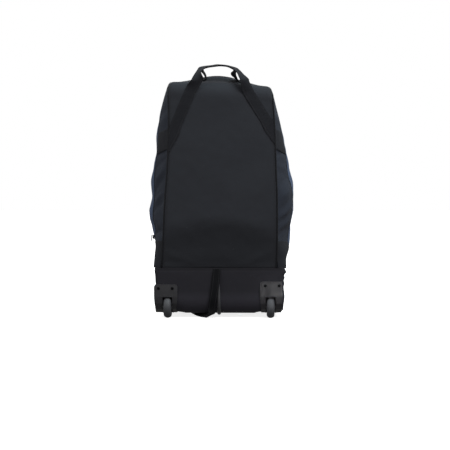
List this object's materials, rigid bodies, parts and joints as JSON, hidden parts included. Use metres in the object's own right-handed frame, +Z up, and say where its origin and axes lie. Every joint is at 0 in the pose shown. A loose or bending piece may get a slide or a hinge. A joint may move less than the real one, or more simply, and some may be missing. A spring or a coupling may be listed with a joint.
{
  "type": "wheeled travel bag",
  "caption": "Foldable upright travel bag of black cloth with a blue front, webbing hand grip, stiff base, moulded corner wheels and plain feet.",
  "frame": {"origin": "on the floor, under the middle of the bag's box", "axes": "+Z up; the black back panel faces -Y and the blue front +Y; +X is to the right seen from behind"},
  "size_m": [0.4219, 0.3341, 0.7142],
  "materials": {
    "back_cloth": "fine woven polyester, matte",
    "side_cloth": "fine woven polyester, matte",
    "band_cloth": "coarse woven polyester, matte",
    "blue_cloth": "fine woven polyester, slight sheen",
    "base_cloth": "coarse woven polyester over a stiff board",
    "webbing": "ribbed woven webbing",
    "zip_plastic": "coil zip",
    "zip_metal": "black enamel",
    "bracket_plastic": "moulded, satin",
    "screw_metal": "black",
    "axle_steel": "plain",
    "tyre": "smooth grey rubber",
    "hub_plastic": "moulded"
  },
  "bodies": {
    "bag": {"back_panel": "back_cloth", "front_panel": "blue_cloth", "back_side_left": "side_cloth", "front_side_left": "blue_cloth", "piping_left": "webbing", "upper_side_band_left": "band_cloth", "lower_side_band_left": "band_cloth", "back_side_right": "side_cloth", "front_side_right": "blue_cloth", "piping_right": "webbing", "upper_side_band_right": "band_cloth", "lower_side_band_right": "band_cloth", "zip_chain": "zip_plastic", "zip_slider": "zip_metal", "zip_pull": "zip_metal", "handle_strap": "webbing", "handle_lining": "webbing", "grab_strap": "webbing", "base_tub": "base_cloth", "skid_rail": "bracket_plastic", "wheel_bracket_left": "bracket_plastic", "bracket_screw_left_1": "screw_metal", "bracket_screw_left_2": "screw_metal", "axle_left": "axle_steel", "wheel_bracket_right": "bracket_plastic", "bracket_screw_right_1": "screw_metal", "bracket_screw_right_2": "screw_metal", "axle_right": "axle_steel", "foot_left": "bracket_plastic", "foot_right": "bracket_plastic"},
    "wheel_left": {"tyre_left": "tyre", "hub_left": "hub_plastic"},
    "wheel_right": {"tyre_right": "tyre", "hub_right": "hub_plastic"}
  },
  "joints": [
    {"name": "wheel_left_spin", "type": "hinge", "parent": "bag", "child": "wheel_left", "pos_m": [-0.151, -0.1266, 0.032], "axis": [1, 0, 0], "continuous": true},
    {"name": "wheel_right_spin", "type": "hinge", "parent": "bag", "child": "wheel_right", "pos_m": [0.1396, -0.1266, 0.032], "axis": [1, 0, 0], "continuous": true}
  ]
}
